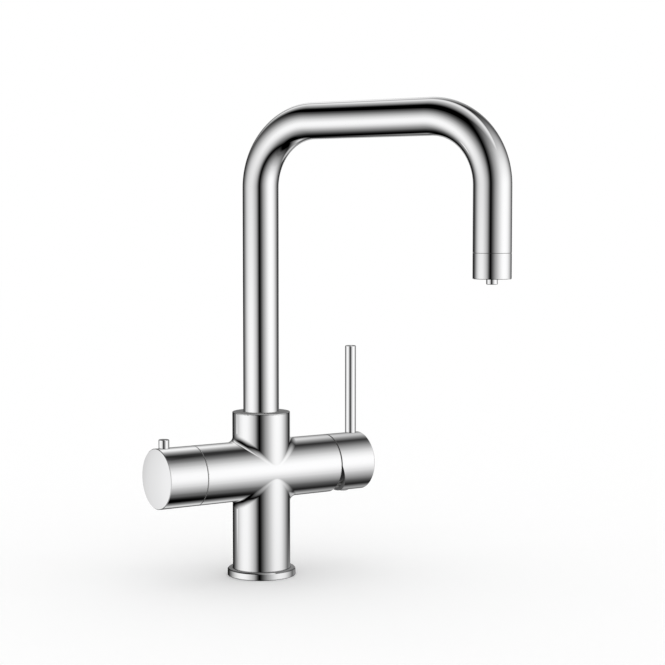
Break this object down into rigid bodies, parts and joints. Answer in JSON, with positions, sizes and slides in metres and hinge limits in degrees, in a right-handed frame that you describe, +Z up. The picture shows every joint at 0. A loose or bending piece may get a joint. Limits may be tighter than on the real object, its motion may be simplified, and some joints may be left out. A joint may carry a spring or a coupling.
{
  "type": "boiling water tap",
  "caption": "Deck-mounted kitchen tap with a squared swivelling spout, a mixer lever on one side and a quarter-turn boiling water knob with a push-down safety peg on the other.",
  "frame": {"origin": "centre of the base ring's underside, where the tap stands on the worktop", "axes": "+Z up along the upright, +X along the horizontal barrel towards the mixer lever, -Y to the front"},
  "size_m": [0.2036, 0.2488, 0.4016],
  "materials": {
    "chrome": "polished chrome plate",
    "brass": "machined",
    "steel": "plain stainless steel",
    "rubber": "matt",
    "white_plastic": "moulded",
    "black_plastic": "moulded, satin",
    "ceramic": "lapped alumina ceramic"
  },
  "bodies": {
    "tap_body": {"base_ring": "chrome", "base_seal": "rubber", "body_casting": "chrome", "inlet_plate": "brass", "waterway_core": "white_plastic", "waterway_gasket": "rubber", "upper_bush": "white_plastic", "lower_bush": "white_plastic", "spout_grub": "steel", "valve_body": "brass", "valve_seal": "rubber", "valve_disc_fixed": "ceramic", "stop_sleeve": "white_plastic", "sleeve_nut": "brass", "cartridge_housing": "white_plastic", "cartridge_seal": "rubber", "cartridge_disc_fixed": "ceramic", "cartridge_nut": "brass", "lever_shroud": "black_plastic"},
    "spout": {"spout_tube": "chrome", "spout_spigot": "brass", "upper_o_ring": "rubber", "lower_o_ring": "rubber", "boiling_tube": "steel", "riser_spacer": "white_plastic", "drop_spacer": "white_plastic", "outlet_ring": "chrome", "flow_insert": "white_plastic", "flow_screen": "steel", "outlet_seal": "rubber", "boiling_nozzle": "chrome"},
    "knob": {"boiling_knob": "chrome", "knob_adapter": "white_plastic", "valve_spindle": "brass", "spindle_o_ring": "rubber", "valve_disc_moving": "ceramic"},
    "peg": {"safety_peg": "chrome", "peg_clip": "steel", "peg_spring": "steel"},
    "carrier": {"cartridge_carrier": "white_plastic", "lever_pin": "steel"},
    "mixer_disc": {"cartridge_disc_moving": "ceramic", "disc_driver": "white_plastic"},
    "lever": {"lever_stem": "brass", "lever_hub": "chrome", "lever_rod": "chrome", "hub_grub": "steel", "hub_plug": "chrome"}
  },
  "joints": [
    {"name": "spout_swivel", "type": "hinge", "parent": "tap_body", "child": "spout", "pos_m": [0, 0, 0], "axis": [0, 0, 1], "range_deg": [-112.7, 67.3]},
    {"name": "knob_turn", "type": "hinge", "parent": "tap_body", "child": "knob", "pos_m": [0, 0, 0.091], "axis": [1, 0, 0], "range_deg": [0, 90]},
    {"name": "peg_press", "type": "slide", "parent": "knob", "child": "peg", "axis": [0, 0, -1], "range_m": [0, 0.003], "stiffness_N_per_m": 800, "springref_m": -0.002, "deforming": ["peg_spring"]},
    {"name": "lever_turn", "type": "hinge", "parent": "tap_body", "child": "carrier", "pos_m": [0, 0, 0.091], "axis": [1, 0, 0], "range_deg": [-45, 45]},
    {"name": "lever_tilt", "type": "hinge", "parent": "carrier", "child": "lever", "pos_m": [0.067, 0, 0.091], "axis": [0, 1, 0], "range_deg": [0, 20]},
    {"name": "disc_slide", "type": "slide", "parent": "carrier", "child": "mixer_disc", "axis": [0, 0, 1], "range_m": [0, 0.0036]}
  ],
  "couplings": [
    {"joint": "disc_slide", "follows": "lever_tilt", "m_per_rad": 0.01019}
  ]
}
